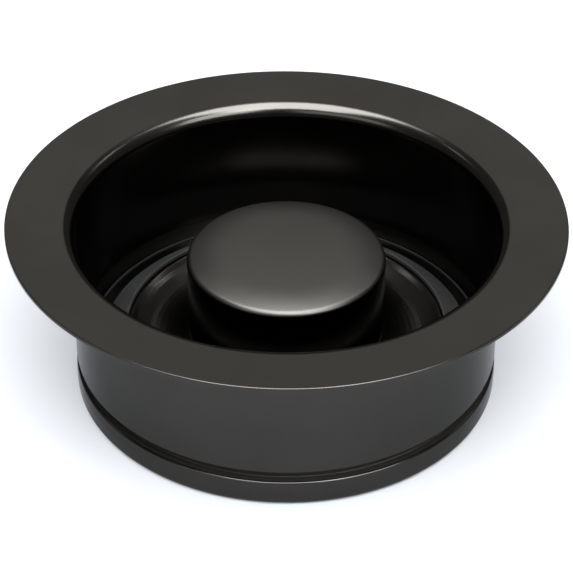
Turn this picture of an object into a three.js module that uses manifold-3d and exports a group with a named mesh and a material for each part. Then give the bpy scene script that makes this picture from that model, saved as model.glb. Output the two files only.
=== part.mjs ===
// Sink flange of a food-waste disposer with its lift-out stopper.
// Millimetres, +Z up. The origin is on the axis, in the plane of the flange's bottom lip.

import * as THREE from 'three';
import Module from 'manifold-3d';
import { mergeVertices } from 'three/addons/utils/BufferGeometryUtils.js';

const wasm = await Module();
wasm.setup();

// ---- driving dimensions ----

const SEGMENTS = 48;          // facets round the large pieces
const SMALL_SEGMENTS = 24;    // facets round the fasteners
const GAP = 0.3;              // clearance between neighbouring pieces
const SEAL_GAP = 0.15;        // clearance of the rubber pieces round the dish

// flange
const HEIGHT = 39.8;          // bottom lip to the top of the ring
const RING_R = 57.0;          // nominal 4-1/2 in ring
const RING_DROP = 0.9;        // the ring falls this much towards the drain
const SHEET = 0.85;
const EDGE_ROUND = 0.2;
const LAND_R = 54.5;          // inner edge of the flat land that seats on the sink
const TUBE_R = 44.03;         // passes a 3-1/2 in drain hole
const SHOULDER = 2.8;         // radius between the ring and the tube
const NECK_R = 42.2;          // bottom of the snap-ring groove
const GROOVE_TOP = 8.38;
const GROOVE_BOTTOM = 5.9;
const GROOVE_FILLET = 0.3;
const LIP_R = 44.13;
const LIP_CROWN = 0.05;       // the lip's outer face bulges this much
const LIP_ROUND = 1.58;
const LIP_TOP_ROUND = 0.5;
const LIP_BORE_R = 41.5;
const SEAT_FOOT = 7.83;       // height where the tapered seat leaves the bore
const SEAT_ANGLE = 62 * Math.PI / 180;
const SEAT_EASE = 0.15;       // the seat's two edges are eased this much

// stopper dish
const DISH_SHEET = 0.7;
const BRIM_R = 40.9;
const BRIM_TOP = 9.0;
const BRIM_EASE = 0.15;
const SKIRT_ANGLE = 34.7 * Math.PI / 180;
const CREST_ROUND = 0.8;
const TROUGH_R = 26.7;        // lowest circle between the crest and the knob
const TROUGH_Z = 9.7;
const BOWL_ROUND = 9.4;       // from the trough up to the crest
const BOWL_ANGLE = 37.5 * Math.PI / 180;
const FLANK_ROUND = 11.0;     // from the trough up to the boss under the knob
const FLANK_ANGLE = 33 * Math.PI / 180;
const BOSS_ROUND = 1.5;
const SCREW_HOLE_R = 3.0;

// skirt ring, a rubber ring over the dish's skirt
const SLEEVE_R = 39.36;       // its outer slope passes through this radius at SLEEVE_Z
const SLEEVE_Z = 8.75;
const SLEEVE_INNER_R = 33.3;
const SLEEVE_EASE = 0.15;

// edge seal, a rubber ring under and round the dish's brim
const SEAL_R = 41.6;
const SEAL_TOP = 9.15;
const SEAL_ROUND = 0.25;
const SEAL_FOOT_R = 41.0;
const SEAL_FOOT_INNER_R = 38.9;
const SEAL_FOOT = 0.9;        // height of the part under the brim
const SEAL_CLEARANCE = 0.2;   // across, between the seal's bevel and the seat

// knob
const KNOB_R = 20.5;
const KNOB_TOP = 30.9;
const KNOB_DOME = 1.27;       // the top rises this much from its edge to the middle
const KNOB_ROUND = 1.3;
const KNOB_SHELL = 0.8;
const KNOB_FOOT_ROUND = 0.4;
const CRIMP_R = 18.6;         // inner edge of the shell's turned-in foot
const GASKET = 0.6;           // thickness of the rubber washer under the knob
const GASKET_INSET = 0.5;     // the washer is this much smaller than the knob
const GASKET_BORE_R = 7.6;
const CORE_WALL = 2.0;
const CORE_BOSS_R = 7.0;
const RIBS = 6;
const RIB = 1.6;
const RIB_RECESS = 1.5;       // the ribs stop this far inside the core's open end
const JOIN = 1.0;             // the ribs run this far into the walls that they join

// fasteners, M5
const SHANK_R = 2.5;
const THREAD_DEPTH = 0.4;
const THREAD_PITCH = 0.8;
const THREADED = 6.4;         // length of thread at the tip
const SCREW_TIP = 21.8;
const HEAD_R = 4.75;
const HEAD = 2.8;
const HEAD_ROUND = 2.0;
const CROSS_LENGTH = 5.0;
const CROSS_WIDTH = 1.1;
const CROSS_DEPTH = 1.6;
const INSERT_R = 4.0;
const INSERT_RECESS = 0.5;
const INSERT_TOOTH = 0.25;
const INSERT_TEETH = 14;
const INSERT_BORE_R = SHANK_R + GAP;
const INSERT_TOP = 23.2;
const WASHER_R = 7.5;
const WASHER = 0.8;
const LOCK_R = 4.8;
const LOCK = 1.2;
const LOCK_SLIT = 0.2;        // radians

// ---- heights that follow ----

const CREST_R = TROUGH_R + (BOWL_ROUND + CREST_ROUND) * Math.sin(BOWL_ANGLE);
const CREST_Z = TROUGH_Z + BOWL_ROUND - (BOWL_ROUND + CREST_ROUND) * Math.cos(BOWL_ANGLE);
const BOSS_R = TROUGH_R - (FLANK_ROUND + BOSS_ROUND) * Math.sin(FLANK_ANGLE);
const BOSS_Z = TROUGH_Z + FLANK_ROUND - (FLANK_ROUND + BOSS_ROUND) * Math.cos(FLANK_ANGLE);
const FLOOR_TOP = BOSS_Z + BOSS_ROUND;
const FLOOR_BOTTOM = FLOOR_TOP - DISH_SHEET;
const GASKET_BOTTOM = FLOOR_TOP + GAP;
const KNOB_FOOT = GASKET_BOTTOM + GASKET + GAP;
const CORE_FOOT = KNOB_FOOT + KNOB_SHELL + GAP;
const CORE_R = KNOB_R - KNOB_SHELL - GAP;
const CORE_TOP = KNOB_TOP - KNOB_DOME - KNOB_SHELL - GAP;
const CORE_BOSS_FOOT = GASKET_BOTTOM;
const INSERT_FOOT = CORE_BOSS_FOOT + INSERT_RECESS;
const WASHER_TOP = FLOOR_BOTTOM - GAP;
const LOCK_TOP = WASHER_TOP - WASHER - GAP;
const HEAD_TOP = LOCK_TOP - LOCK - GAP;

// ---- helpers ----

// Points on an arc in the (radius, height) plane, angles in radians from the radius direction.
function arc(r, z, radius, from, to, steps) {
  const points = [];
  for (let i = 0; i <= steps; i++) {
    const a = from + (to - from) * i / steps;
    points.push([r + radius * Math.cos(a), z + radius * Math.sin(a)]);
  }
  return points;
}

// Turns a counterclockwise (radius, height) outline about the Z axis.
function turned(points, segments = SEGMENTS) {
  const onAxis = points[0][0] === 0;
  const path = onAxis ? points : [...points, points[0]];
  const outline = path.map(([r, z]) => new THREE.Vector2(r, z));
  return new THREE.LatheGeometry(outline, segments).rotateX(Math.PI / 2);
}

// A rectangular section turned about the Z axis.
function ring(inner, outer, bottom, top, segments = SEGMENTS) {
  return turned([[inner, bottom], [outer, bottom], [outer, top], [inner, top]], segments);
}

function toSolid(geometry) {
  const bare = geometry.clone();
  bare.deleteAttribute('normal');
  bare.deleteAttribute('uv');
  const welded = mergeVertices(bare, 1e-5);
  const vertProperties = new Float32Array(welded.attributes.position.array);
  const triVerts = new Uint32Array(welded.index.array);
  return new wasm.Manifold(new wasm.Mesh({ numProp: 3, vertProperties, triVerts }));
}

function toGeometry(solid) {
  const mesh = solid.getMesh();
  const geometry = new THREE.BufferGeometry();
  geometry.setAttribute('position', new THREE.BufferAttribute(mesh.vertProperties, 3));
  geometry.setIndex(new THREE.BufferAttribute(mesh.triVerts, 1));
  geometry.computeVertexNormals();
  return geometry;
}

function finish(color, roughness, metalness) {
  return new THREE.MeshStandardMaterial({ color, roughness, metalness });
}

function piece(name, geometry, material) {
  const mesh = new THREE.Mesh(geometry, material);
  mesh.name = name;
  return mesh;
}

const gunmetal = () => finish(0x45443f, 0.35, 1);
const rubber = () => finish(0x0c0c0d, 0.6, 0);
const plastic = () => finish(0x17181a, 0.55, 0);
const brass = () => finish(0xb08d4a, 0.35, 1);
const bareSteel = () => finish(0xa9abac, 0.3, 1);

// ---- pieces ----

// Height of the flange's tapered seat at a radius.
function seatZ(r) {
  return SEAT_FOOT + (r - (NECK_R - SHEET)) * Math.tan(SEAT_ANGLE);
}

// One pressed sheet: ring, rounded shoulder, tube, necked groove with the stopper's seat inside it,
// and a lip that bulges out again and turns in at the bottom.
function sinkFlange() {
  const ringInner = TUBE_R - SHEET + SHOULDER;
  const shoulderZ = HEIGHT - RING_DROP - SHOULDER;
  const wall = TUBE_R - SHEET;
  const bore = NECK_R - SHEET;
  const lipInside = LIP_R - SHEET;
  const ledgeInside = GROOVE_BOTTOM - SHEET;
  const landZ = HEIGHT - SHEET;
  const top = [
    ...arc(RING_R - EDGE_ROUND, HEIGHT - EDGE_ROUND, EDGE_ROUND, 0, Math.PI / 2, 2),
    ...arc(ringInner, shoulderZ, SHOULDER, Math.PI / 2, Math.PI, 7),
  ];
  const inside = [
    [wall, seatZ(wall) + SEAT_EASE],
    [wall - SEAT_EASE, seatZ(wall - SEAT_EASE)],
    [bore + SEAT_EASE, seatZ(bore + SEAT_EASE)],
    [bore, SEAT_FOOT - SEAT_EASE],
    [bore, ledgeInside + GROOVE_FILLET + SHEET / 2],
    [bore + GROOVE_FILLET + SHEET / 2, ledgeInside],
    [lipInside - GROOVE_FILLET, ledgeInside],
    [lipInside, ledgeInside - GROOVE_FILLET],
    [lipInside, LIP_ROUND],
    [LIP_R - LIP_ROUND, SHEET],
    [LIP_BORE_R, SHEET],
  ];
  const lip = [
    [LIP_BORE_R, 0],
    ...arc(LIP_R - LIP_ROUND, LIP_ROUND, LIP_ROUND, -Math.PI / 2, 0, 4),
    [LIP_R + LIP_CROWN, (LIP_ROUND + GROOVE_BOTTOM) / 2],
    ...arc(LIP_R - LIP_TOP_ROUND - LIP_CROWN, GROOVE_BOTTOM - LIP_TOP_ROUND,
      LIP_TOP_ROUND, 0, Math.PI / 2, 2),
  ];
  const groove = [
    [NECK_R + GROOVE_FILLET, GROOVE_BOTTOM],
    [NECK_R, GROOVE_BOTTOM + GROOVE_FILLET],
    [NECK_R, GROOVE_TOP - GROOVE_FILLET],
    [NECK_R + GROOVE_FILLET, GROOVE_TOP],
    [TUBE_R - GROOVE_FILLET, GROOVE_TOP],
    [TUBE_R, GROOVE_TOP + GROOVE_FILLET],
  ];
  const underside = [
    ...arc(ringInner, shoulderZ, SHOULDER - SHEET, Math.PI, Math.PI / 2, 4),
    [LAND_R, landZ],
    [RING_R - EDGE_ROUND / 2, landZ],
    [RING_R, landZ + EDGE_ROUND / 2],
  ];
  return turned([...top, ...inside, ...lip, ...groove, ...underside]);
}

// Pressed dish: flat brim, conical skirt under its rubber ring, a crest, a trough round the knob,
// and a raised boss that the knob stands on.
function stopperDish() {
  const skirtNormal = Math.PI / 2 - SKIRT_ANGLE;
  const bowlNormal = Math.PI / 2 + BOWL_ANGLE;
  const flankNormal = Math.PI / 2 - FLANK_ANGLE;
  const face = (depth) => [
    [skirtFoot(depth), BRIM_TOP - depth],
    ...arc(CREST_R, CREST_Z, CREST_ROUND - depth, skirtNormal, bowlNormal, 4),
    ...arc(TROUGH_R, TROUGH_Z + BOWL_ROUND, BOWL_ROUND + depth, BOWL_ANGLE - Math.PI / 2,
      -Math.PI / 2, 4).slice(1),
    ...arc(TROUGH_R, TROUGH_Z + FLANK_ROUND, FLANK_ROUND + depth, -Math.PI / 2,
      -Math.PI / 2 - FLANK_ANGLE, 4).slice(1),
    ...arc(BOSS_R, BOSS_Z, BOSS_ROUND - depth, flankNormal, Math.PI / 2, 2).slice(1),
    [SCREW_HOLE_R, FLOOR_TOP - depth],
  ];
  return turned([
    [BRIM_R, BRIM_TOP - BRIM_EASE],
    [BRIM_R - BRIM_EASE, BRIM_TOP],
    ...face(0),
    ...face(DISH_SHEET).reverse(),
    [BRIM_R, BRIM_TOP - DISH_SHEET],
  ]);
}

// Radius at which the dish's skirt meets its brim, on the face this deep below the upper one.
function skirtFoot(depth) {
  const crest = CREST_ROUND - depth;
  const drop = CREST_Z + crest * Math.cos(SKIRT_ANGLE) - (BRIM_TOP - depth);
  return CREST_R + crest * Math.sin(SKIRT_ANGLE) + drop / Math.tan(SKIRT_ANGLE);
}

// Rubber ring stretched over the dish's skirt: it stands on the brim and rises above the crest.
function skirtRing() {
  const slope = Math.tan(SKIRT_ANGLE);
  const foot = BRIM_TOP + SEAL_GAP;
  const footR = SLEEVE_R - (foot - SLEEVE_Z) / slope;
  const topR = SLEEVE_INNER_R + SLEEVE_EASE;
  const undersideR = skirtFoot(0) + SEAL_GAP / Math.sin(SKIRT_ANGLE) - SEAL_GAP / slope;
  return turned([
    [footR - SLEEVE_EASE, foot],
    [footR - SLEEVE_EASE, foot + SLEEVE_EASE * slope],
    [topR, foot + (footR - topR) * slope],
    [SLEEVE_INNER_R, foot + (footR - topR) * slope - SLEEVE_EASE / 2],
    [SLEEVE_INNER_R, foot + (undersideR - SLEEVE_INNER_R) * slope],
    [undersideR, foot],
  ]);
}

// Rubber ring whose upper lip stands round the brim's edge and whose bevel meets the flange's seat.
function edgeSeal() {
  const grooveR = BRIM_R + SEAL_GAP;
  const grooveBottom = BRIM_TOP - DISH_SHEET - SEAL_GAP;
  const bottom = grooveBottom - SEAL_FOOT;
  return turned([
    ...arc(SEAL_R - SEAL_ROUND, SEAL_TOP - SEAL_ROUND, SEAL_ROUND, 0, Math.PI / 2, 2),
    ...arc(grooveR + SEAL_ROUND, SEAL_TOP - SEAL_ROUND, SEAL_ROUND, Math.PI / 2, Math.PI, 2),
    [grooveR, grooveBottom],
    [SEAL_FOOT_INNER_R, grooveBottom],
    [SEAL_FOOT_INNER_R, bottom + SEAL_ROUND],
    [SEAL_FOOT_INNER_R + SEAL_ROUND, bottom],
    [SEAL_FOOT_R - SEAL_ROUND, bottom],
    [SEAL_FOOT_R, bottom + SEAL_ROUND],
    [SEAL_FOOT_R, seatZ(SEAL_FOOT_R + SEAL_CLEARANCE)],
    [SEAL_R, seatZ(SEAL_R + SEAL_CLEARANCE)],
  ]);
}

// A domed top from its edge to the axis, the sphere through both.
function dome(edgeR, edgeZ, rise, steps) {
  const radius = (edgeR * edgeR + rise * rise) / (2 * rise);
  const tilt = Math.asin(edgeR / radius);
  return arc(0, edgeZ + rise - radius, radius, Math.PI / 2 - tilt, Math.PI / 2, steps);
}

// Drawn shell of the knob, with its foot turned in under the core.
function knobCap() {
  const edgeR = KNOB_R - KNOB_ROUND;
  const edgeZ = KNOB_TOP - KNOB_DOME - KNOB_ROUND;
  const inside = KNOB_R - KNOB_SHELL;
  return turned([
    ...dome(edgeR, KNOB_TOP - KNOB_DOME - KNOB_SHELL, KNOB_DOME, 5).reverse(),
    ...arc(edgeR, edgeZ, KNOB_ROUND - KNOB_SHELL, Math.PI / 2, 0, 2).slice(1),
    [inside, KNOB_FOOT + KNOB_SHELL],
    [CRIMP_R, KNOB_FOOT + KNOB_SHELL],
    [CRIMP_R, KNOB_FOOT],
    ...arc(KNOB_R - KNOB_FOOT_ROUND, KNOB_FOOT + KNOB_FOOT_ROUND, KNOB_FOOT_ROUND,
      -Math.PI / 2, 0, 2),
    ...arc(edgeR, edgeZ, KNOB_ROUND, 0, Math.PI / 2, 5),
    ...dome(edgeR, KNOB_TOP - KNOB_DOME, KNOB_DOME, 5).slice(1),
  ]);
}

// Moulded core: a cup open at the bottom, with a boss for the insert and ribs out to its wall.
function knobCore() {
  const edge = KNOB_ROUND - KNOB_SHELL;
  const ceiling = CORE_TOP - CORE_WALL;
  const pocketR = INSERT_R + INSERT_TOOTH + GAP;
  const pocketTop = INSERT_TOP + GAP;
  let core = toSolid(turned([
    [0, pocketTop],
    [pocketR, pocketTop],
    [pocketR, CORE_BOSS_FOOT],
    [CORE_BOSS_R, CORE_BOSS_FOOT],
    [CORE_BOSS_R, ceiling],
    [CORE_R - CORE_WALL, ceiling],
    [CORE_R - CORE_WALL, CORE_FOOT],
    [CORE_R, CORE_FOOT],
    ...arc(CORE_R - edge, CORE_TOP - edge, edge, 0, Math.PI / 2, 2),
    ...dome(CORE_R - edge, CORE_TOP, KNOB_DOME, 4).slice(1),
  ], SMALL_SEGMENTS));
  const ribFoot = CORE_FOOT + RIB_RECESS;
  const ribTop = ceiling + JOIN;
  const ribInner = CORE_BOSS_R - JOIN;
  const ribOuter = CORE_R - CORE_WALL + JOIN;
  for (let i = 0; i < RIBS; i++) {
    const rib = new THREE.BoxGeometry(ribOuter - ribInner, RIB, ribTop - ribFoot);
    rib.translate((ribOuter + ribInner) / 2, 0, (ribTop + ribFoot) / 2);
    rib.rotateZ((i + 0.5) * 2 * Math.PI / RIBS);
    core = core.add(toSolid(rib));
  }
  return toGeometry(core);
}

// Knurled brass insert that takes the screw.
function threadedInsert() {
  const outline = new THREE.Shape();
  for (let i = 0; i < 2 * INSERT_TEETH; i++) {
    const a = i * Math.PI / INSERT_TEETH;
    const r = INSERT_R + (i % 2 ? INSERT_TOOTH : 0);
    if (i === 0) outline.moveTo(r, 0);
    else outline.lineTo(r * Math.cos(a), r * Math.sin(a));
  }
  outline.closePath();
  const hole = new THREE.Path();
  hole.absarc(0, 0, INSERT_BORE_R, 0, 2 * Math.PI, true);
  outline.holes.push(hole);
  const options = { depth: INSERT_TOP - INSERT_FOOT, bevelEnabled: false, curveSegments: 10 };
  return new THREE.ExtrudeGeometry(outline, options).translate(0, 0, INSERT_FOOT);
}

// Rubber washer that keeps water out of the screw hole.
function knobGasket() {
  return ring(GASKET_BORE_R, KNOB_R - GASKET_INSET, GASKET_BOTTOM, GASKET_BOTTOM + GASKET);
}

function flatWasher() {
  return ring(SHANK_R + GAP, WASHER_R, WASHER_TOP - WASHER, WASHER_TOP, SMALL_SEGMENTS);
}

// Split ring under the screw's head.
function lockWasher() {
  const half = LOCK_SLIT / 2;
  const outline = new THREE.Shape();
  outline.absarc(0, 0, LOCK_R, half, 2 * Math.PI - half, false);
  outline.absarc(0, 0, SHANK_R + GAP, 2 * Math.PI - half, half, true);
  const options = { depth: LOCK, bevelEnabled: false, curveSegments: 12 };
  return new THREE.ExtrudeGeometry(outline, options).translate(0, 0, LOCK_TOP - LOCK);
}

// Pan-head screw, head down, with a cross recess. Its thread is drawn as rings.
function centreScrew() {
  const headBottom = HEAD_TOP - HEAD;
  const thread = [];
  const start = SCREW_TIP - SHANK_R / 2 - THREADED;
  for (let i = 0; i < THREADED / THREAD_PITCH; i++) {
    const z = start + i * THREAD_PITCH;
    thread.push([SHANK_R, z], [SHANK_R - THREAD_DEPTH, z + THREAD_PITCH / 2]);
  }
  const screw = toSolid(turned([
    [0, headBottom],
    ...arc(HEAD_R - HEAD_ROUND, headBottom + HEAD_ROUND, HEAD_ROUND, -Math.PI / 2, 0, 4),
    [HEAD_R, HEAD_TOP],
    [SHANK_R, HEAD_TOP],
    ...thread,
    [SHANK_R, SCREW_TIP - SHANK_R / 2],
    [SHANK_R / 2, SCREW_TIP],
    [0, SCREW_TIP],
  ], SMALL_SEGMENTS));
  const slots = [0, Math.PI / 2].map((turn) => {
    const slot = new THREE.BoxGeometry(CROSS_LENGTH, CROSS_WIDTH, 2 * CROSS_DEPTH);
    return toSolid(slot.rotateZ(turn).translate(0, 0, headBottom));
  });
  return toGeometry(screw.subtract(slots[0]).subtract(slots[1]));
}

// ---- assembly ----

const stopper = new THREE.Group();
stopper.add(
  piece('stopper_dish', stopperDish(), gunmetal()),
  piece('knob_cap', knobCap(), gunmetal()),
  piece('knob_core', knobCore(), plastic()),
  piece('knob_gasket', knobGasket(), rubber()),
  piece('skirt_ring', skirtRing(), rubber()),
  piece('threaded_insert', threadedInsert(), brass()),
  piece('flat_washer', flatWasher(), bareSteel()),
  piece('lock_washer', lockWasher(), bareSteel()),
  piece('centre_screw', centreScrew(), bareSteel()),
);

const group = new THREE.Group();
group.add(
  piece('sink_flange', sinkFlange(), gunmetal()),
  piece('edge_seal', edgeSeal(), rubber()),
  stopper,
);

export default group;
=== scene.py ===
"""Looks of the disposer sink flange and its lift-out stopper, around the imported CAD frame."""

import math

import bmesh
import bpy
from mathutils import Matrix, Vector


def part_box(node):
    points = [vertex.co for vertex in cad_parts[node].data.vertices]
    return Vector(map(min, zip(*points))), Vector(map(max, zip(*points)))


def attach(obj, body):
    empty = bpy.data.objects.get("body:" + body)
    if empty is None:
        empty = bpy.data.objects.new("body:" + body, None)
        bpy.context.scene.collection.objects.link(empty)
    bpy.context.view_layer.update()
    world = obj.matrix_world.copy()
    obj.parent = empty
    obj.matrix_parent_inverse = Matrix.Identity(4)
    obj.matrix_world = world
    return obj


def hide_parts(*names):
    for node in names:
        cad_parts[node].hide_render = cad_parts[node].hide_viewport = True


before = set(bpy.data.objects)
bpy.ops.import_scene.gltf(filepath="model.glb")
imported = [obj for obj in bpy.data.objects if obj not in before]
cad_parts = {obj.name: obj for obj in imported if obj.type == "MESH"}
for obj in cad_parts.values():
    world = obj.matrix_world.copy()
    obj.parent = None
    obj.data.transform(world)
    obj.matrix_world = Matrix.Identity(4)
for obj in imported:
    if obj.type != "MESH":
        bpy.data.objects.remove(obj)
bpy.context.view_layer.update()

MM = 0.001
SEGMENTS = 288          # round the large pieces
SMALL_SEGMENTS = 96     # round the fasteners
ARC_STEP = math.radians(7.5)
SUPPORT = 0.12          # mm from a rounded corner to the loop that keeps the next face flat


# ---- sizes in millimetres: overall ones from the frame, section details as on the CAD part ----

def extent(node):
    """The lowest and highest corners of a CAD node's box, in millimetres."""
    low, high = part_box(node)
    return low / MM, high / MM


flange_high = extent("sink_flange")[1]
dish_high = extent("stopper_dish")[1]
seal_low, seal_high = extent("edge_seal")
knob_low, knob_high = extent("knob_cap")
gasket_low, gasket_high = extent("knob_gasket")
washer_low, washer_high = extent("flat_washer")
lock_low, lock_high = extent("lock_washer")
screw_low, screw_high = extent("centre_screw")

RING_R, TOP = flange_high.x, flange_high.z
RING_DROP = 0.9
SHEET = 0.85
TUBE_R = 44.03
SHOULDER = 2.8
LAND_R = 54.5
NECK_R = 42.2
GROOVE_TOP, GROOVE_BOTTOM = 8.38, 5.9
LIP_R = 44.13
LIP_CROWN = 0.05
LIP_ROUND = 1.58
LIP_BORE_R = 41.5
SEAT_FOOT = 7.83        # height where the tapered seat leaves the bore
SEAT_ANGLE = math.radians(62)

DISH_SHEET = 0.7
BRIM_R, BRIM_TOP = dish_high.x, 9.0
SKIRT_ANGLE = math.radians(34.7)
CREST_ROUND = 0.8
TROUGH_R, TROUGH_Z = 26.7, 9.7
BOWL_ROUND, BOWL_ANGLE = 9.4, math.radians(37.5)
FLANK_ROUND, FLANK_ANGLE = 11.0, math.radians(33)
BOSS_ROUND = 1.5
SCREW_HOLE_R = 3.0

SEAL_GAP = 0.15
SLEEVE_R, SLEEVE_Z = 39.36, 8.75
SLEEVE_INNER_R = 33.3
SEAL_FOOT_R, SEAL_FOOT_INNER_R = 41.0, 38.9
SEAL_CLEARANCE = 0.2

KNOB_DOME = 1.27
KNOB_FLAT_R, KNOB_FLAT_TILT = 13.0, math.radians(2.4)
KNOB_EDGE_TILT = math.radians(13.5)
KNOB_ROUND = 1.3
KNOB_SHELL = 0.8
CRIMP_R = 18.6

GASKET_BORE_R = 7.6
HOLE_R = 2.8            # bore of the washers
SHANK_R = 2.5
HEAD_R, HEAD, HEAD_ROUND = 4.75, 2.8, 2.0
CROSS_LENGTH, CROSS_WIDTH, CROSS_DEPTH = 5.0, 1.1, 1.6
CROSS_END_LENGTH, CROSS_END_WIDTH = 0.62, 0.85      # shares left at the bottom of the recess
SLIT = 0.2              # radians of the lock washer's gap
SLIT_RISE = 0.15        # mm between the two ends of the lock washer


# ---- outlines in the (radius, height) plane ----

def arc(r, z, radius, start, end, least=2):
    """Points on an arc about (r, z), angles in radians from the radius direction."""
    steps = max(least, math.ceil(abs(end - start) / ARC_STEP))
    angles = [start + (end - start) * k / steps for k in range(steps + 1)]
    return [Vector((r + radius * math.cos(a), z + radius * math.sin(a))) for a in angles]


def rounded(corners):
    """A closed outline from (radius, height, fillet) corners, with each fillet as an arc."""
    outline = []
    for i, (r, z, fillet) in enumerate(corners):
        here = Vector((r, z))
        if fillet <= 0:
            outline.append(here)
            continue
        back = (Vector(corners[i - 1][:2]) - here).normalized()
        ahead = (Vector(corners[(i + 1) % len(corners)][:2]) - here).normalized()
        half = back.angle(ahead) / 2
        centre = here + (back + ahead).normalized() * fillet / math.sin(half)
        spoke = here + back * fillet / math.tan(half) - centre
        sweep = math.pi - 2 * half
        turn = math.copysign(sweep, back.y * ahead.x - back.x * ahead.y)
        steps = max(2, math.ceil(sweep / ARC_STEP))
        outline += [centre + Matrix.Rotation(turn * k / steps, 2) @ spoke for k in range(steps + 1)]
    return outline


def supported(outline):
    """Adds a point near each end of every long stretch, so that smooth shading keeps it flat."""
    result = []
    for p, q in zip(outline, [*outline[1:], outline[0]]):
        result.append(p)
        length = (q - p).length
        if length > 4 * SUPPORT:
            result.append(p.lerp(q, SUPPORT / length))
            result.append(p.lerp(q, 1 - SUPPORT / length))
    return result


def seat_z(r):
    """Height of the flange's tapered seat at a radius."""
    return SEAT_FOOT + (r - (NECK_R - SHEET)) * math.tan(SEAT_ANGLE)


def flange_outline():
    """Inside of ring, shoulder, tube, seat, neck and lip, then the outside back up to the rim."""
    wall = TUBE_R - SHEET
    bore = NECK_R - SHEET
    lip_inside = LIP_R - SHEET
    shoulder_top = TOP - RING_DROP
    land = TOP - SHEET
    lip_middle = (GROOVE_BOTTOM + LIP_ROUND) / 2
    return rounded([
        (RING_R, TOP, 0.2),
        (wall + SHOULDER, shoulder_top, 0),
        (wall, shoulder_top, SHOULDER),
        (wall, seat_z(wall), 0.4),
        (bore, SEAT_FOOT, 0.4),
        (bore, GROOVE_BOTTOM - SHEET, 0.6),
        (lip_inside, GROOVE_BOTTOM - SHEET, 0.4),
        (lip_inside, SHEET, LIP_ROUND - SHEET),
        (LIP_BORE_R, SHEET, 0.15),
        (LIP_BORE_R, 0, 0.15),
        (LIP_R, 0, LIP_ROUND),
        (LIP_R + LIP_CROWN, lip_middle, 8),
        (LIP_R - LIP_CROWN, GROOVE_BOTTOM, 0.5),
        (NECK_R, GROOVE_BOTTOM, 0.3),
        (NECK_R, GROOVE_TOP, 0.3),
        (TUBE_R, GROOVE_TOP, 0.25),
        (TUBE_R, shoulder_top - SHEET, SHOULDER - SHEET),
        (wall + SHOULDER, shoulder_top - SHEET, 0),
        (LAND_R, land, 0),
        (RING_R, land, 0.12),
    ])


def crest_centre():
    """Centre of the dish's crest, the rounding between the trough's wall and the skirt."""
    reach = BOWL_ROUND + CREST_ROUND
    return (TROUGH_R + reach * math.sin(BOWL_ANGLE),
            TROUGH_Z + BOWL_ROUND - reach * math.cos(BOWL_ANGLE))


def skirt_foot(depth):
    """Radius where the dish's skirt meets its brim, on the face this deep below the upper one."""
    r, z = crest_centre()
    crest = CREST_ROUND - depth
    drop = z + crest * math.cos(SKIRT_ANGLE) - (BRIM_TOP - depth)
    return r + crest * math.sin(SKIRT_ANGLE) + drop / math.tan(SKIRT_ANGLE)


def dish_face(depth):
    """From the brim's rounded edge to the screw hole, this deep below the upper face."""
    quarter = math.pi / 2
    reach = FLANK_ROUND + BOSS_ROUND
    boss_r = TROUGH_R - reach * math.sin(FLANK_ANGLE)
    boss_z = TROUGH_Z + FLANK_ROUND - reach * math.cos(FLANK_ANGLE)
    return [
        Vector((skirt_foot(depth), BRIM_TOP - depth)),
        *arc(*crest_centre(), CREST_ROUND - depth, quarter - SKIRT_ANGLE, quarter + BOWL_ANGLE),
        *arc(TROUGH_R, TROUGH_Z + BOWL_ROUND, BOWL_ROUND + depth, BOWL_ANGLE - quarter, -quarter)[1:],
        *arc(TROUGH_R, TROUGH_Z + FLANK_ROUND, FLANK_ROUND + depth, -quarter,
             -quarter - FLANK_ANGLE)[1:],
        *arc(boss_r, boss_z, BOSS_ROUND - depth, quarter - FLANK_ANGLE, quarter)[1:],
        Vector((SCREW_HOLE_R, boss_z + BOSS_ROUND - depth)),
    ]


def dish_outline():
    round_r = DISH_SHEET / 2
    edge = arc(BRIM_R - round_r, BRIM_TOP - round_r, round_r, -math.pi / 2, math.pi / 2)
    return [*edge, *dish_face(0), *reversed(dish_face(DISH_SHEET))]


def skirt_ring_outline():
    """A wedge on the skirt, with its foot just above the brim."""
    slope = math.tan(SKIRT_ANGLE)
    foot = BRIM_TOP + SEAL_GAP
    foot_r = SLEEVE_R - (foot - SLEEVE_Z) / slope
    underside_r = skirt_foot(0) + SEAL_GAP / math.sin(SKIRT_ANGLE) - SEAL_GAP / slope
    return rounded([
        (foot_r, foot, 0.12),
        (SLEEVE_INNER_R, foot + (foot_r - SLEEVE_INNER_R) * slope, 0.2),
        (SLEEVE_INNER_R, foot + (underside_r - SLEEVE_INNER_R) * slope, 0.1),
        (underside_r, foot, 0.1),
    ])


def seal_outline():
    """A thin ring round the brim and under it, bevelled where it sits on the flange's seat."""
    groove_r = BRIM_R + SEAL_GAP
    groove_bottom = BRIM_TOP - DISH_SHEET - SEAL_GAP
    return rounded([
        (seal_high.x, seal_high.z, 0.24),
        (groove_r, seal_high.z, 0.24),
        (groove_r, groove_bottom, 0.1),
        (SEAL_FOOT_INNER_R, groove_bottom, 0.1),
        (SEAL_FOOT_INNER_R, seal_low.z, 0.25),
        (SEAL_FOOT_R, seal_low.z, 0.25),
        (SEAL_FOOT_R, seat_z(SEAL_FOOT_R + SEAL_CLEARANCE), 0.2),
        (seal_high.x, seat_z(seal_high.x + SEAL_CLEARANCE), 0.1),
    ])


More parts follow.
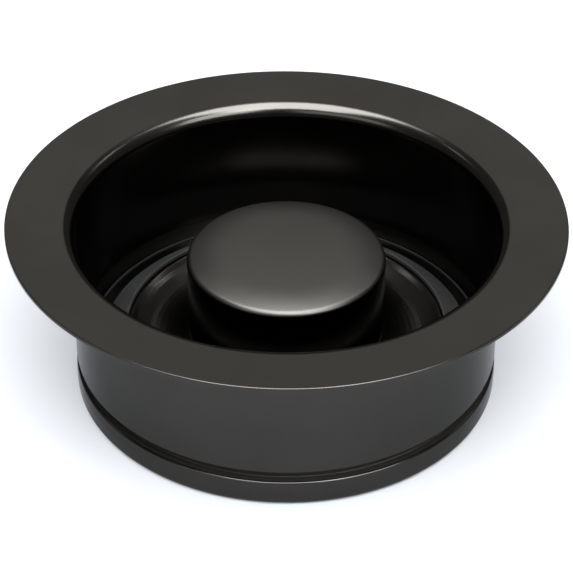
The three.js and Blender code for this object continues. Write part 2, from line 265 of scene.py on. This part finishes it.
def knob_top(seam):
    """The knob's crowned top from its edge rounding to the axis: a curved rim, then a flatter middle."""
    reach = (seam.x - KNOB_FLAT_R) / (math.sin(KNOB_EDGE_TILT) - math.sin(KNOB_FLAT_TILT))
    centre = seam - Vector((math.sin(KNOB_EDGE_TILT), math.cos(KNOB_EDGE_TILT))) * reach
    quarter = math.pi / 2
    rim = arc(*centre, reach, quarter - KNOB_EDGE_TILT, quarter - KNOB_FLAT_TILT, least=16)
    flat = KNOB_FLAT_R / math.sin(KNOB_FLAT_TILT)
    middle = rim[-1].y - flat * math.cos(KNOB_FLAT_TILT)
    disc = arc(0, middle, flat, quarter - KNOB_FLAT_TILT, quarter, least=8)
    disc[-1].x = 0
    return [*rim, *disc[1:]]


def knob_outline():
    """The knob's shell: its inside from the axis out, the foot turned in, then the outside."""
    quarter = math.pi / 2
    edge_r = knob_high.x - KNOB_ROUND
    edge_z = knob_high.z - KNOB_DOME - KNOB_ROUND
    inside = knob_high.x - KNOB_SHELL
    foot = knob_low.z
    shoulder = arc(edge_r, edge_z, KNOB_ROUND, 0, quarter - KNOB_EDGE_TILT)
    top = knob_top(shoulder[-1])
    under = arc(edge_r, edge_z, KNOB_ROUND - KNOB_SHELL, quarter - KNOB_EDGE_TILT, 0)
    ceiling = [p - Vector((0, KNOB_SHELL)) for p in reversed(top[1:])]
    skirt = rounded([
        (inside, edge_z, 0),
        (inside, foot + KNOB_SHELL, 0.1),
        (CRIMP_R, foot + KNOB_SHELL, 0.1),
        (CRIMP_R, foot, 0.1),
        (knob_high.x, foot, 0.4),
        (knob_high.x, foot + 1, 0),
    ])
    return [*ceiling, *under, *skirt[1:], *shoulder, *top[1:]]


def washer_outline(inner, outer, bottom, top, fillet):
    return rounded([
        (outer, top, fillet),
        (inner, top, fillet),
        (inner, bottom, fillet),
        (outer, bottom, fillet),
    ])


# ---- mesh tools ----

def turned(outline, segments):
    """Points and faces of a counterclockwise outline turned about the Z axis."""
    points, loops = [], []
    for p in supported(outline):
        if p.x < 1e-6:
            loops.append([len(points)] * segments)
            points.append((0, 0, p.y))
            continue
        loops.append(range(len(points), len(points) + segments))
        for s in range(segments):
            a = 2 * math.pi * s / segments
            points.append((p.x * math.cos(a), p.x * math.sin(a), p.y))
    faces = []
    for low, high in zip(loops, [*loops[1:], loops[0]]):
        if low[0] == low[1] and high[0] == high[1]:
            continue
        for s in range(segments):
            t = (s + 1) % segments
            faces.append(tuple(dict.fromkeys((low[s], low[t], high[t], high[s]))))
    return points, faces


def split_ring(outline, segments):
    """A ring with a slit at angle zero, whose two ends stand a little apart in height."""
    section = supported(outline)
    count = len(section)
    points = []
    for s in range(segments + 1):
        share = s / segments
        a = SLIT / 2 + (2 * math.pi - SLIT) * share
        rise = SLIT_RISE * (share - 0.5)
        points += [(p.x * math.cos(a), p.x * math.sin(a), p.y + rise) for p in section]
    faces = [tuple(range(count))[::-1], tuple(segments * count + k for k in range(count))]
    for s in range(segments):
        for k in range(count):
            n = (k + 1) % count
            low, high = s * count, (s + 1) * count
            faces.append((low + k, high + k, high + n, low + n))
    return points, faces


def make(name, mesh_data, body, material, node):
    """A smooth piece from points in millimetres, which rides on a body and stands for a CAD node."""
    points, faces = mesh_data
    mesh = bpy.data.meshes.new(name)
    mesh.from_pydata([[c * MM for c in p] for p in points], [], faces)
    build = bmesh.new()
    build.from_mesh(mesh)
    bmesh.ops.recalc_face_normals(build, faces=build.faces)
    build.to_mesh(mesh)
    build.free()
    mesh.polygons.foreach_set("use_smooth", [True] * len(mesh.polygons))
    mesh.materials.append(material)
    piece = bpy.data.objects.new(name, mesh)
    bpy.context.scene.collection.objects.link(piece)
    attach(piece, body)
    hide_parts(node)
    return piece


# ---- materials ----

class Look:
    """A Principled material; node inputs are values or the sockets of other nodes."""

    def __init__(self, name):
        self.material = bpy.data.materials.new(name)
        self.material.use_nodes = True
        self.tree = self.material.node_tree
        self.shader = self.tree.nodes["Principled BSDF"]
        self.place = self.add("ShaderNodeTexCoord").outputs["Object"]

    def add(self, kind, inputs=None, **settings):
        node = self.tree.nodes.new(kind)
        for key, value in settings.items():
            setattr(node, key, value)
        self.feed(node, inputs or {})
        return node

    def feed(self, node, inputs):
        for key, value in inputs.items():
            if isinstance(value, bpy.types.NodeSocket):
                self.tree.links.new(value, node.inputs[key])
            else:
                node.inputs[key].default_value = value

    def noise(self, scale, detail=3.0, roughness=0.55, place=None):
        inputs = {"Vector": place or self.place, "Scale": scale, "Detail": detail,
                  "Roughness": roughness}
        return self.add("ShaderNodeTexNoise", inputs).outputs["Fac"]

    def math(self, operation, a, b=0.0):
        return self.add("ShaderNodeMath", {0: a, 1: b}, operation=operation).outputs[0]

    def remap(self, value, low, high, to_low, to_high):
        inputs = {"Value": value, "From Min": low, "From Max": high, "To Min": to_low,
                  "To Max": to_high}
        return self.add("ShaderNodeMapRange", inputs).outputs["Result"]

    def mix(self, factor, a, b):
        inputs = {"Factor": factor, 6: (*a, 1), 7: (*b, 1)}
        return self.add("ShaderNodeMix", inputs, data_type="RGBA").outputs[2]

    def bump(self, height, strength, distance):
        inputs = {"Height": height, "Strength": strength, "Distance": distance}
        return self.add("ShaderNodeBump", inputs).outputs["Normal"]

    def radius_and_height(self):
        """The distance from the Z axis and the height, in metres."""
        split = self.add("ShaderNodeSeparateXYZ", {0: self.place}).outputs
        flat = self.add("ShaderNodeCombineXYZ", {"X": split["X"], "Y": split["Y"]}).outputs[0]
        length = self.add("ShaderNodeVectorMath", {0: flat}, operation="LENGTH")
        return length.outputs["Value"], split["Z"]


GUNMETAL = (0.0385, 0.0375, 0.035)
KNOB_GUNMETAL = (0.046, 0.045, 0.0422)
GRAZING_TINT = (0.66, 0.66, 0.66, 1)
BLAST_BORDER = 28.6     # mm: the knob is blast-finished above this height and polished below it, where its colour also takes painted shade
BORDER_BLUR = 0.5       # mm to each side of the border
SIDE_POLISH = 0.4       # roughness of the knob's side as a share of its top's
SIDE_PAINTED_SHADE = 0.08        # painted shade: the side's colour as a share of its top's, dark where the real side looks dark from what it mirrors
GROOVE_MATT = 0.45      # added roughness in the groove, where no polishing reaches


def shade(tone, factor):
    return [c * factor for c in tone]


def groove_mask(look, radius, height):
    """1 in the outside of the snap-ring groove and on the lip's upper side, and 0 elsewhere."""
    outside = look.math("GREATER_THAN", radius, (NECK_R - SHEET / 2) * MM)
    below = look.math("LESS_THAN", height, GROOVE_TOP * MM)
    above = look.math("GREATER_THAN", height, (GROOVE_BOTTOM - 0.3) * MM)
    within = look.math("LESS_THAN", radius, (LIP_R - 0.5) * MM)
    return look.math("MULTIPLY", look.math("MULTIPLY", outside, within),
                     look.math("MULTIPLY", below, above))


def gunmetal(name, tone, roughness, grain, blast_and_painted_shade=False, groove=False):
    """Stainless steel under a dark vapour-deposited coat, satin all over.
    The knob's option gives its grain on top, a polished side, and painted shade on that side: a darker
    colour where the real side looks dark from what it mirrors. Groove is the flange's."""
    look = Look(name)
    radius, height = look.radius_and_height()
    fine = look.noise(4200, 2.0)
    coarse = look.noise(1500, 2.0)
    cloud = look.noise(70, 3.0)
    grit = look.math("ADD", fine, look.math("MULTIPLY", coarse, 0.5))
    rough = look.math("ADD", look.remap(cloud, 0.3, 0.7, roughness - 0.02, roughness + 0.02),
                      look.remap(fine, 0.3, 0.7, -0.03, 0.03))
    colour = look.mix(look.remap(cloud, 0.3, 0.7, 0, 1), shade(tone, 0.93), shade(tone, 1.07))
    if blast_and_painted_shade:
        top = look.remap(height, (BLAST_BORDER - BORDER_BLUR) * MM, (BLAST_BORDER + BORDER_BLUR) * MM, 0, 1)
        side = look.remap(top, 0, 1, SIDE_POLISH, 1)
        rough = look.math("MULTIPLY", rough, side)
        grain = look.math("MULTIPLY", side, grain)
        # Painted shade: below the border the knob's colour is darkened to a small share of its top's tone,
        # where the real side looks dark from the trough it mirrors.
        colour = look.mix(top, shade(tone, SIDE_PAINTED_SHADE), tone)
    if groove:
        inside = groove_mask(look, radius, height)
        rough = look.math("ADD", rough, look.math("MULTIPLY", inside, GROOVE_MATT))
    look.feed(look.shader, {
        "Base Color": colour,
        "Metallic": 1.0,
        "Roughness": rough,
        "Specular Tint": GRAZING_TINT,
        "Normal": look.bump(grit, grain, 0.00004),
    })
    return look.material


def rubber(name, tone):
    """Matt moulded rubber with hardly any shine."""
    look = Look(name)
    speck = look.noise(2600, 4.0)
    cloud = look.noise(90)
    look.feed(look.shader, {
        "Base Color": look.mix(look.remap(cloud, 0.3, 0.7, 0, 1), shade(tone, 0.8), shade(tone, 1.2)),
        "Roughness": look.remap(speck, 0.3, 0.7, 0.55, 0.7),
        "Specular IOR Level": 0.06,
        "Normal": look.bump(speck, 0.25, 0.00005),
    })
    return look.material


def bare_metal(name, tone, roughness):
    """Uncoated metal with fine turning lines round the Z axis."""
    look = Look(name)
    radius, height = look.radius_and_height()
    turn = look.add("ShaderNodeCombineXYZ", {"X": radius, "Z": height}).outputs[0]
    lines = look.noise(9000, 3.0, place=turn)
    cloud = look.noise(300)
    look.feed(look.shader, {
        "Base Color": look.mix(cloud, shade(tone, 0.85), tone),
        "Metallic": 1.0,
        "Roughness": look.remap(lines, 0.3, 0.7, roughness - 0.06, roughness + 0.08),
        "Normal": look.bump(lines, 0.15, 0.00003),
    })
    return look.material


def plastic(name, tone):
    """Matt moulded plastic."""
    look = Look(name)
    grain = look.noise(3200, 3.0)
    cloud = look.noise(120)
    look.feed(look.shader, {
        "Base Color": look.mix(cloud, shade(tone, 0.8), shade(tone, 1.2)),
        "Roughness": look.remap(grain, 0.3, 0.7, 0.45, 0.6),
        "Normal": look.bump(grain, 0.2, 0.00005),
    })
    return look.material


steel = gunmetal("gunmetal_satin", GUNMETAL, 0.2, 0.12)
flange_steel = gunmetal("gunmetal_flange", GUNMETAL, 0.2, 0.12, groove=True)
# The knob's material: blast grain on top, and painted shade darkening its side.
knob_steel = gunmetal("gunmetal_blast_painted_shade", KNOB_GUNMETAL, 0.36, 0.4, blast_and_painted_shade=True)
black_rubber = rubber("black_rubber", (0.036, 0.0366, 0.038))
edge_rubber = rubber("edge_rubber", (0.01, 0.0102, 0.0106))
fastener = bare_metal("bare_stainless", (0.62, 0.62, 0.61), 0.28)
insert_brass = bare_metal("turned_brass", (0.72, 0.5, 0.2), 0.3)
core_plastic = plastic("charcoal_plastic", (0.02, 0.021, 0.023))


# ---- pieces ----

def screw_mesh():
    """The screw's pan head and shank; the head's cross recess is cut afterwards."""
    bottom = screw_low.z
    head_top = bottom + HEAD
    tip = screw_high.z
    outline = [
        Vector((0, bottom)),
        *arc(HEAD_R - HEAD_ROUND, bottom + HEAD_ROUND, HEAD_ROUND, -math.pi / 2, 0),
        Vector((HEAD_R, head_top)),
        Vector((SHANK_R, head_top)),
        Vector((SHANK_R, tip - SHANK_R / 2)),
        Vector((SHANK_R / 2, tip)),
        Vector((0, tip)),
    ]
    return turned(outline, SMALL_SEGMENTS)


def cross_cutter():
    """A cross whose arms taper inwards, for the screw's recess."""
    mesh = bpy.data.meshes.new("cross")
    build = bmesh.new()
    for quarter in (0, 1):
        slot = bmesh.ops.create_cube(build, size=1)["verts"]
        for v in slot:
            inside = v.co.z > 0
            v.co.x *= CROSS_LENGTH * MM * (CROSS_END_LENGTH if inside else 1)
            v.co.y *= CROSS_WIDTH * MM * (CROSS_END_WIDTH if inside else 1)
            v.co.z = (screw_low.z + (CROSS_DEPTH if inside else -1)) * MM
        bmesh.ops.rotate(build, verts=slot, matrix=Matrix.Rotation(quarter * math.pi / 2, 3, "Z"))
    build.to_mesh(mesh)
    build.free()
    cutter = bpy.data.objects.new("cross", mesh)
    bpy.context.scene.collection.objects.link(cutter)
    return cutter


def cut(piece, cutter):
    """Subtracts the cutter, bakes the result and removes the cutter."""
    trim = piece.modifiers.new("recess", "BOOLEAN")
    trim.object = cutter
    trim.operation = "DIFFERENCE"
    trim.solver = "EXACT"
    trim.use_self = True
    bpy.context.view_layer.update()
    graph = bpy.context.evaluated_depsgraph_get()
    mesh = bpy.data.meshes.new_from_object(piece.evaluated_get(graph))
    piece.modifiers.clear()
    piece.data = mesh
    mesh.set_sharp_from_angle(angle=math.radians(35))
    bpy.data.objects.remove(cutter)


def flange_pieces():
    data = turned(flange_outline(), SEGMENTS)
    make("flange_skin", data, "flange", flange_steel, "sink_flange")


def stopper_pieces():
    data = turned(dish_outline(), SEGMENTS)
    make("dish_skin", data, "stopper", steel, "stopper_dish")
    data = turned(knob_outline(), SEGMENTS)
    make("knob_skin", data, "stopper", knob_steel, "knob_cap")
    data = turned(seal_outline(), SEGMENTS)
    make("seal_skin", data, "seal", edge_rubber, "edge_seal")
    data = turned(skirt_ring_outline(), SEGMENTS)
    make("skirt_ring_skin", data, "stopper", black_rubber, "skirt_ring")
    outline = washer_outline(GASKET_BORE_R, gasket_high.x, gasket_low.z, gasket_high.z, 0.2)
    data = turned(outline, SEGMENTS)
    make("gasket_skin", data, "stopper", black_rubber, "knob_gasket")


def fastener_pieces():
    outline = washer_outline(HOLE_R, washer_high.x, washer_low.z, washer_high.z, 0.12)
    data = turned(outline, SMALL_SEGMENTS)
    make("washer_skin", data, "stopper", fastener, "flat_washer")
    half_rise = SLIT_RISE / 2
    outline = washer_outline(HOLE_R, lock_high.y, lock_low.z + half_rise, lock_high.z - half_rise, 0.1)
    data = split_ring(outline, SMALL_SEGMENTS)
    make("lock_skin", data, "stopper", fastener, "lock_washer")
    screw = make("screw_skin", screw_mesh(), "stopper", fastener, "centre_screw")
    cut(screw, cross_cutter())


def kept_nodes():
    """The hidden CAD pieces keep their shapes and take fine materials."""
    for node, material in (("knob_core", core_plastic), ("threaded_insert", insert_brass)):
        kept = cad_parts[node]
        kept.data.materials.clear()
        kept.data.materials.append(material)


flange_pieces()
stopper_pieces()
fastener_pieces()
kept_nodes()


# ---- stage ----

FLOOR_HALF = 3.0                    # metres
EYE_BACK, EYE_RISE = 0.36382, 0.24583   # metres from the axis and above the ring
FOCAL, SENSOR = 135.93, 36          # mm
PAN, DOWN, ROLL = -0.0112, 35.988, 0.386    # degrees
ROOM_COLOUR, ROOM_STRENGTH = (1.0, 0.98, 0.94), 0.2


def floor():
    half = FLOOR_HALF
    corners = [(-half, -half, 0), (half, -half, 0), (half, half, 0), (-half, half, 0)]
    mesh = bpy.data.meshes.new("floor")
    mesh.from_pydata(corners, [], [(0, 1, 2, 3)])
    look = Look("pale_paper")
    look.feed(look.shader, {
        "Base Color": look.mix(look.noise(40), (0.79, 0.82, 0.87), (0.81, 0.84, 0.89)),
        "Roughness": 0.9,
        "Specular IOR Level": 0.1,
    })
    mesh.materials.append(look.material)
    sheet = bpy.data.objects.new("floor", mesh)
    bpy.context.scene.collection.objects.link(sheet)


def softbox(name, azimuth, elevation, distance, size, radiance, colour=(1, 1, 1), glossy=True):
    """An area light aimed at the object: azimuth clockwise from +Y seen from above, in degrees.
    A glossy one only shows in reflections, and the other kind only lights matt surfaces."""
    a, e = math.radians(azimuth), math.radians(elevation)
    towards = Vector((math.sin(a) * math.cos(e), math.cos(a) * math.cos(e), math.sin(e)))
    lamp = bpy.data.lights.new(name, "AREA")
    lamp.shape = "RECTANGLE"
    lamp.size, lamp.size_y = size
    lamp.energy = radiance * math.pi * size[0] * size[1]
    lamp.color = colour
    light = bpy.data.objects.new(name, lamp)
    light.location = towards * distance + Vector((0, 0, TOP * MM / 2))
    light.rotation_euler = towards.to_track_quat("Z", "Y").to_euler()
    light.visible_diffuse = not glossy
    light.visible_glossy = glossy
    bpy.context.scene.collection.objects.link(light)


def camera():
    """A long lens, 36 degrees down, with the ring filling the width of the frame."""
    lens = bpy.data.cameras.new("camera")
    lens.sensor_width = SENSOR
    lens.lens = FOCAL
    lens.clip_start = 0.01
    eye = bpy.data.objects.new("camera", lens)
    pan = Matrix.Rotation(math.radians(PAN), 4, "Z")
    tilt = Matrix.Rotation(math.radians(90 - DOWN), 4, "X")
    roll = Matrix.Rotation(math.radians(ROLL), 4, "Z")
    place = Matrix.Translation((0, -EYE_BACK, EYE_RISE + TOP * MM))
    eye.matrix_world = place @ pan @ tilt @ roll
    bpy.context.scene.collection.objects.link(eye)
    bpy.context.scene.camera = eye


def studio():
    """Soft boxes that the metal mirrors, and fills that only whiten the floor and the rubber."""
    room = bpy.data.worlds.new("studio")
    room.use_nodes = True
    back = room.node_tree.nodes["Background"]
    back.inputs["Color"].default_value = (*ROOM_COLOUR, 1)
    back.inputs["Strength"].default_value = ROOM_STRENGTH
    bpy.context.scene.world = room
    softbox("backdrop", 0, 38, 3.0, (1.05, 1.5), 1.0, colour=ROOM_COLOUR)
    softbox("overhead", 180, 80, 1.0, (0.88, 1.15), 19)
    softbox("overhead_rear", 0, 64, 1.0, (0.4, 0.16), 4)
    softbox("front_right", 140, 42, 1.2, (0.75, 0.6), 10)
    softbox("front_left", -150, 25, 1.2, (1.0, 0.5), 2.5)
    softbox("behind_right", 53, 43, 1.2, (0.12, 0.2), 7)
    softbox("behind_left", -64, 43, 1.2, (0.12, 0.2), 4)
    softbox("fill_above", 0, 90, 1.5, (2.5, 2.5), 1.5, glossy=False)
    softbox("fill_right", 140, 45, 1.5, (1.5, 1.5), 2.9, glossy=False)
    softbox("fill_left", -140, 45, 1.5, (1.5, 1.5), 2.7, glossy=False)
    bpy.context.scene.view_settings.view_transform = "Standard"


camera()
floor()
studio()
